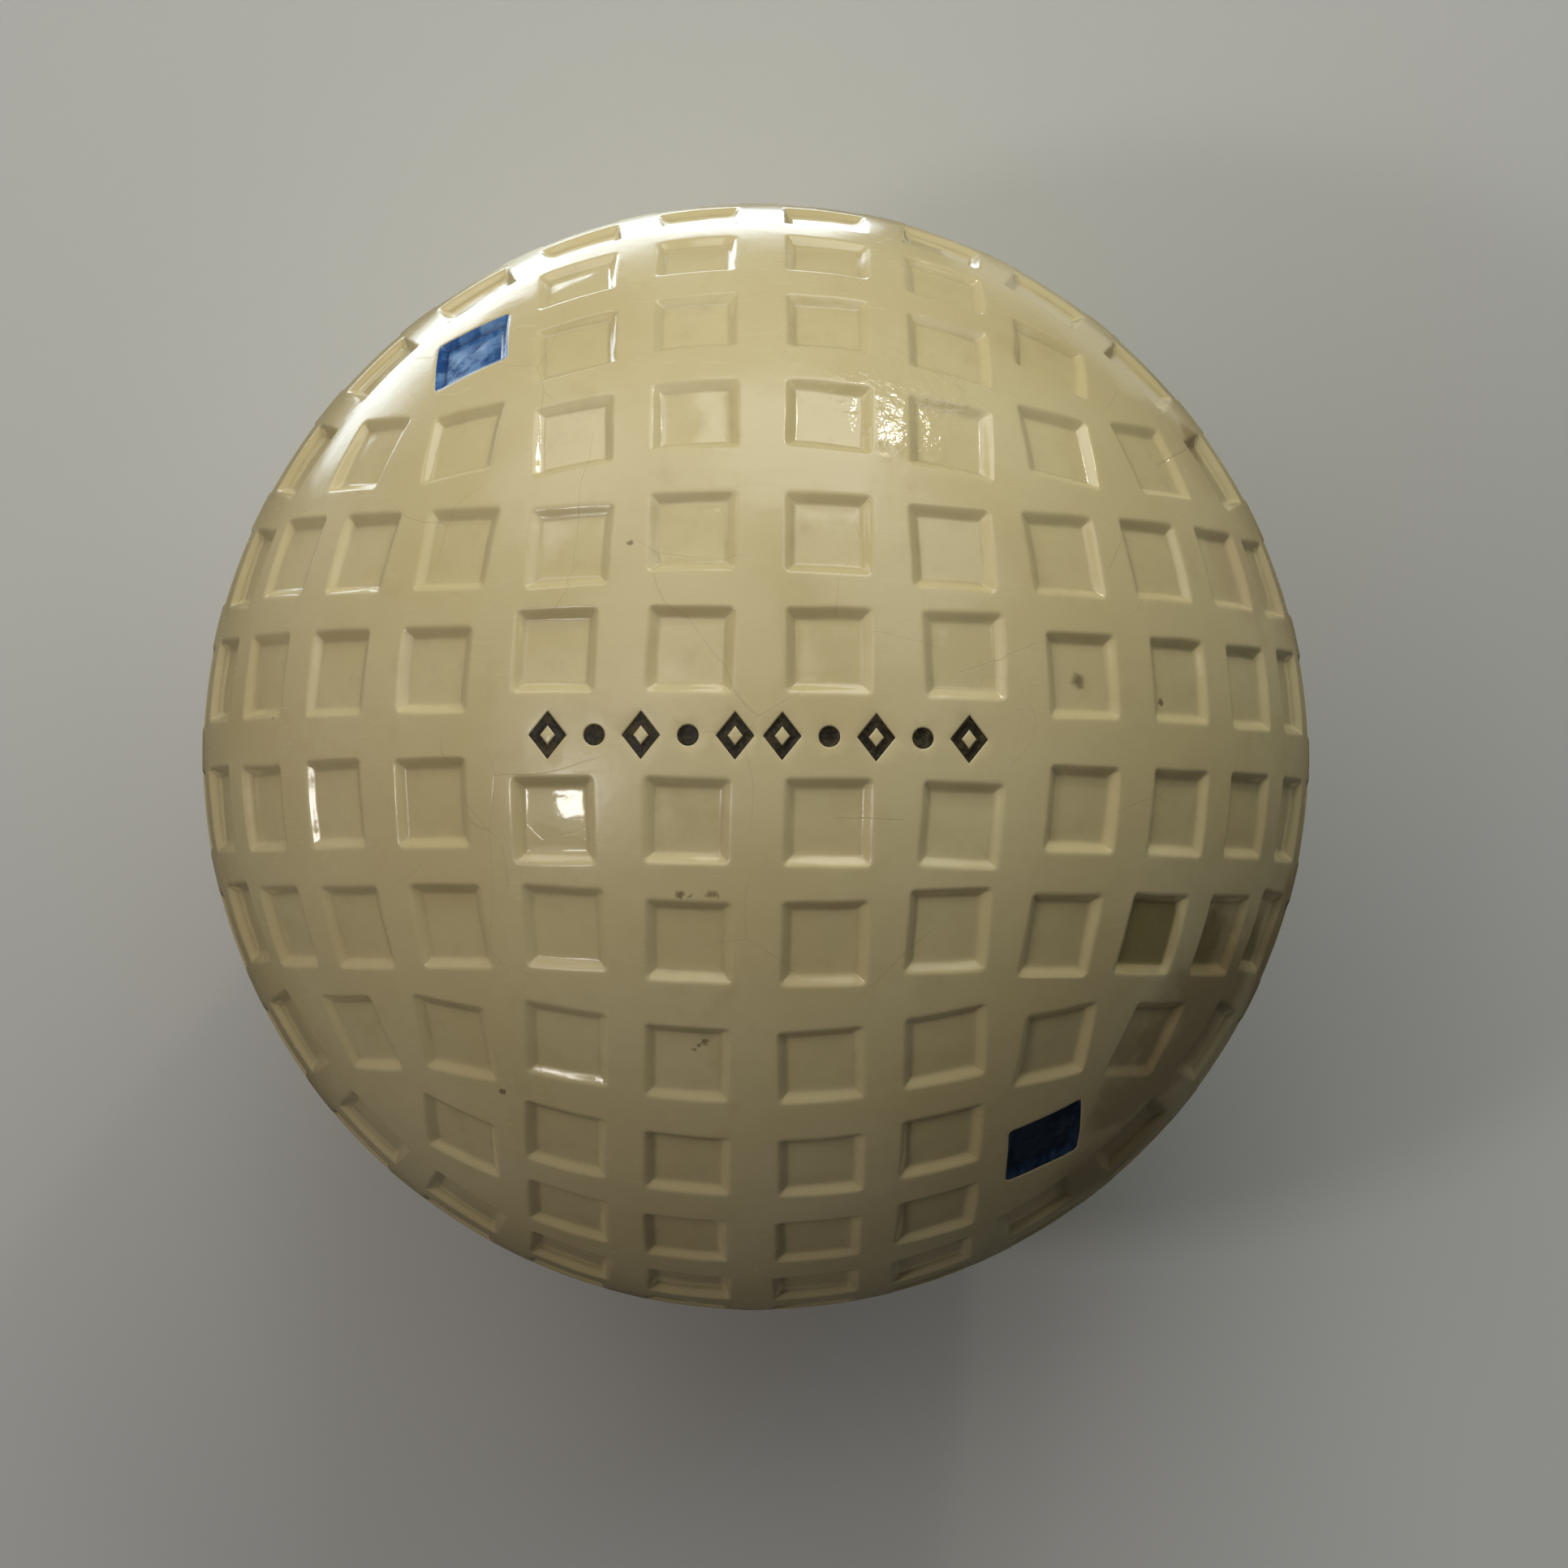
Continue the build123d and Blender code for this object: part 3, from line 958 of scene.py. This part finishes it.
def blue_material():
    """Blue enamel brushed into a recess: streaky, pooled at the walls, scuffed in places, with
    painted shade that darkens one square almost to black.
    """
    material, shader = new_material("blue_enamel", 0.25)
    g = Graph(material, shader)
    brushed = g.vector("MULTIPLY", g.warped(1.5, 0.8), (1.0, 0.4, 1.0))
    streak, patch = g.noise(0.6, 4.0, 0.6, brushed), g.noise(0.9, 3.0, 0.55)
    color = g.mix(g.between(streak, 0.36, 0.64), BLUE_DEEP, BLUE_STREAK)
    color = g.mix(g.between(patch, 0.52, 0.62, 0.0, 0.6), color, BLUE_PATCH)
    color = g.mix(g.math("MULTIPLY", g.attribute("grime"), 0.75), color, BLUE_POOLED)
    # Painted shade: one blue square is darkened almost to black, and shows less wear
    painted_shade = g.spot(on_ball(*BLUE_SHADED_SQUARE), 2.6, 0.5)
    dark = g.mix(g.between(streak, 0.4, 0.62), SHADED_NAVY_DEEP, SHADED_NAVY_STREAK)
    color = g.mix(g.math("MULTIPLY", painted_shade, 0.94), color, dark)
    worn = g.between(g.noise(0.28, 5.0, 0.7), 0.64, 0.72)
    worn = g.math("MULTIPLY", worn, g.between(painted_shade, 0.0, 1.0, 0.5, 0.1))
    color = g.mix(worn, color, BLUE_WORN)
    rough = g.between(streak, 0.3, 0.7, 0.16, 0.34)
    g.finish(Base_Color=color, Roughness=rough, Normal=g.bump(streak, 0.4, 0.05))
    return material


def ink_material():
    """Worn dark filling paint, brown where it is thin, with ivory where it has gone."""
    material, shader = new_material("stamp_ink", 0.5, Specular_IOR_Level=0.3)
    g = Graph(material, shader)
    patchy, fine = g.noise(0.9, 4.0, 0.65), g.noise(0.14, 3.0)
    color = g.mix(g.between(fine, 0.4, 0.7), INK, INK_GREY)
    color = g.mix(g.between(patchy, 0.5, 0.62, 0.0, 0.45), color, INK_THIN)
    color = g.mix(g.between(patchy, 0.63, 0.7, 0.0, 0.7), color, INK_GONE)
    rough = g.between(patchy, 0.35, 0.7, 0.42, 0.7)
    g.finish(Base_Color=color, Roughness=rough, Normal=g.bump(patchy, 0.5, 0.04))
    return material


def rubber_material(name, light, dark, size, sheen):
    """Natural rubber: cloudy colour, a dusty bloom and fine stretch lines."""
    material, shader = new_material(name, 0.65, Sheen_Weight=sheen)
    g = Graph(material, shader)
    cloudy, fine = g.noise(size, 5.0, 0.6), g.noise(size / 8, 3.0, 0.6)
    color = g.mix(g.between(cloudy, 0.3, 0.7), dark, light)
    bloom = tuple(min(1, c * 1.5) for c in light[:3]) + (1,)
    color = g.mix(g.between(fine, 0.55, 0.8, 0.0, 0.35), color, bloom)
    stretched = g.vector("MULTIPLY", g.warped(4.0, 1.5), (0.2, 0.2, 4.0))
    normal = g.bump(g.noise(0.25, 3.0, 0.5, stretched), 0.45, 0.06, g.bump(fine, 0.3, 0.04))
    rough = g.between(cloudy, 0.3, 0.7, 0.55, 0.8)
    g.finish(Base_Color=color, Roughness=rough, Normal=normal)
    return material


def paste_material():
    """Thick glycerine paste: pale, wet and a little lumpy."""
    material, shader = new_material("centre_paste", 0.3, Subsurface_Weight=0.15)
    g = Graph(material, shader)
    lumps, grain = g.noise(2.5, 4.0), g.noise(0.3, 3.0)
    color = g.mix(g.between(lumps, 0.3, 0.7), PASTE, PASTE_PALE)
    color = g.mix(g.between(grain, 0.6, 0.8, 0.0, 0.4), color, PASTE_GRAIN)
    g.finish(Base_Color=color, Normal=g.bump(lumps, 0.5, 0.2, g.bump(grain, 0.3, 0.05)))
    return material


# ---- Putting it together ----

def clothe_core():
    """Each sealed inner CAD node keeps its shape and gets its own material."""
    thread = rubber_material("thread_rubber", *THREAD_RUBBER)
    tape = rubber_material("tape_rubber", *TAPE_RUBBER)
    chosen = {
        "core_paste": paste_material(),
        "core_sac": rubber_material("sac_rubber", *SAC_RUBBER),
        "core_plug": rubber_material("plug_rubber", *PLUG_RUBBER),
    }
    for name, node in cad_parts.items():
        if name.startswith("thread_winding"):
            chosen[name] = thread
        elif name.startswith("tape_winding"):
            chosen[name] = tape
        if name in chosen:
            node.data.materials.clear()
            node.data.materials.append(chosen[name])


def painted_points(half, octant):
    """Which of a half's points are in a blue recess, up to the film's brim."""
    last = len(octant["normals"])
    painted = np.zeros(len(half["distance"]), bool)
    for index, (sx, sy) in enumerate(OCTANTS):
        if sx * sy < 0:
            painted |= half["square"] == (index + 1) * last - 1
    return painted & (half["distance"] <= BLUE_BRIM + SAME)


def add_blue(half, octant, name, material, grime):
    """The blue paint of one half, uneven in thickness and thinning out at its brim."""
    wanted = painted_points(half, octant)
    spot = unit(half["points"]) * RADIUS
    uneven_film = 1 + BLUE_UNEVENNESS * smooth_noise(spot, BLUE_FILM_CELL, SEED + 6)
    full = soft_ramp((BLUE_BRIM - half["distance"]) / BLUE_FADE, MASK_FILLET)
    rise = BLUE_FILM * uneven_film * full - TUCK * (1 - full)
    points, faces = film(half, wanted, rise)
    make_piece(
        f"blue_enamel_{name}", points, faces, material,
        f"blue_paint_{name}", {"grime": np.tile(grime[wanted], 2)},
    )


def add_ink(half, name, material):
    """The ink of one half, which fills the strokes almost to the ball's surface."""
    stroke = half["stroke"]
    meniscus = MENISCUS * np.exp(-((np.maximum(-stroke, 0) / MENISCUS_WIDTH) ** 2))
    rise = np.maximum(mark_sinking(stroke) - INK_TOP + meniscus, -TUCK)
    points, faces = film(half, stroke <= INK_BRIM, rise)
    make_piece(f"ink_{name}", points, faces, material, f"stamp_ink_{name}")


def clothe_half(octant, side, name, materials):
    """The shell, blue paint and stamped ink of one half."""
    enamel, blue, ink = materials
    half = cover_half(octant, side)
    away, in_square = half["distance"], half["square"] >= 0
    foot_of_wall = np.exp(-(((away + WALL_WIDTH) / GRIME_WIDTH) ** 2))
    by_stroke = np.abs(half["stroke"] - STROKE_GRIME_MIDDLE) < STROKE_GRIME_REACH
    inside_mouth = soft_ramp(-away / MASK_FADE, MASK_FILLET)
    inside_floor = soft_ramp((MASK_FADE - WALL_WIDTH - away) / MASK_FADE, MASK_FILLET)
    masks = {
        "grime": np.where(in_square, foot_of_wall, STROKE_GRIME * by_stroke),
        "floor": np.where(in_square, inside_floor, 0),
        "recess": np.where(in_square, inside_mouth, 0),
    }
    add_blue(half, octant, name, blue, foot_of_wall)
    add_ink(half, name, ink)

    points, faces = close_inside(half, side)
    inside = np.zeros(len(points) - len(away))
    values = {key: np.concatenate([mask, inside]) for key, mask in masks.items()}
    make_piece(
        f"enamelled_shell_{name}", points, faces, enamel, f"cover_{name}", values
    )


# ---- The stage ----

# The camera looks at the ball's middle from nearly straight above.
CAMERA_TILT = 1.946
CAMERA_SWING = -0.285
CAMERA_ROLL = 0.577
CAMERA_DISTANCE = 10 * RADIUS * MM
LENS = 126.6
SHIFT = (0.0181, -0.0176)

# How far the lights stand and the floor reaches, in ball radii
LIGHT_DISTANCE = 14.9
FLOOR_HALF = 60
FLOOR_COLOR = (0.68, 0.675, 0.66, 1)
WORLD_COLOR = (0.9, 0.94, 1.0, 1)
WORLD_STRENGTH = 0.02


def place_camera():
    camera = bpy.data.objects.new("camera", bpy.data.cameras.new("camera"))
    camera.data.lens = LENS
    camera.data.shift_x, camera.data.shift_y = SHIFT
    camera.data.clip_start = 0.01
    turn = Euler([math.radians(a) for a in (CAMERA_TILT, CAMERA_SWING, CAMERA_ROLL)])
    camera.rotation_euler = turn
    camera.location = turn.to_matrix() @ Vector((0, 0, CAMERA_DISTANCE))
    bpy.context.scene.collection.objects.link(camera)
    bpy.context.scene.camera = camera


def sky(azimuth, elevation):
    """A place for a light, LIGHT_DISTANCE ball radii from the ball's centre."""
    level = LIGHT_DISTANCE * cos(elevation)
    return (level * cos(azimuth), level * sin(azimuth), LIGHT_DISTANCE * sin(elevation))


def area_light(name, place, size, power, color, turned=None):
    """A soft rectangular light at a place in ball radii, facing the ball, or turned as given."""
    light = bpy.data.lights.new(name, "AREA")
    light.shape = "RECTANGLE"
    light.size, light.size_y = (s * RADIUS * MM for s in size)
    light.energy = power
    light.color = color
    lamp = bpy.data.objects.new(name, light)
    lamp.location = Vector(place) * RADIUS * MM
    lamp.rotation_euler = turned or (-lamp.location).to_track_quat("-Z", "Y").to_euler()
    lamp.visible_camera = False
    bpy.context.scene.collection.objects.link(lamp)


def lay_floor():
    """A plain floor under the ball, left out of its reflections."""
    half, level = FLOOR_HALF * RADIUS * MM, -RADIUS * MM
    corners = [(x * half, y * half, level) for x, y in ((-1, -1), (1, -1), (1, 1), (-1, 1))]
    mesh = bpy.data.meshes.new("floor")
    mesh.from_pydata(corners, [], [(0, 1, 2, 3)])
    floor = bpy.data.objects.new("floor", mesh)
    material, shader = new_material("pale_floor", 0.9)
    shader.inputs["Base Color"].default_value = FLOOR_COLOR
    mesh.materials.append(material)
    bpy.context.scene.collection.objects.link(floor)
    floor.visible_glossy = False


def set_world():
    world = bpy.data.worlds.new("studio")
    world.use_nodes = True
    background = world.node_tree.nodes["Background"]
    background.inputs["Color"].default_value = WORLD_COLOR
    background.inputs["Strength"].default_value = WORLD_STRENGTH
    bpy.context.scene.world = world
    bpy.context.scene.view_settings.view_transform = "Standard"


def set_lights():
    """Big soft lights all round, a lamp and a window for highlights, and two low panels."""
    area_light("top", sky(84, 27), (8, 8), 0.272, (0.92, 1.0, 0.98))
    area_light("top_left", sky(125, 21), (6, 6), 0.09, (1.0, 0.96, 1.0))
    area_light("left", sky(176, 56), (9, 9), 0.10, (1.0, 0.92, 0.88))
    area_light("high", sky(118, 64), (9, 9), 0.127, (1.0, 1.0, 0.89))
    area_light("right", sky(52, 44), (8, 8), 0.122, (0.93, 1.0, 0.99))
    area_light("lamp", sky(67.8, 17.6), (0.7, 0.6), 0.085, (1.0, 0.92, 0.74))
    area_light("window", sky(193, 53.3), (1.5, 2.0), 0.085, (1.0, 0.98, 0.95))
    # Panels just above the floor beside the ball, facing up, for the sheen on its rim
    left, right = (-0.92, 1.8, -0.97), (1.1, 1.6, -0.97)
    area_light("panel", left, (2.5, 0.75), 0.013, (0.80, 0.91, 1.0), (math.pi, 0, 0.14))
    area_light("panel_right", right, (0.9, 0.8), 0.00042, (1.0, 0.98, 0.9), (math.pi, 0, -0.5))


octant = octant_mesh()
materials = enamel_material(), blue_material(), ink_material()
clothe_half(octant, 1, "top", materials)
clothe_half(octant, -1, "bottom", materials)
clothe_core()
place_camera()
lay_floor()
set_world()
set_lights()
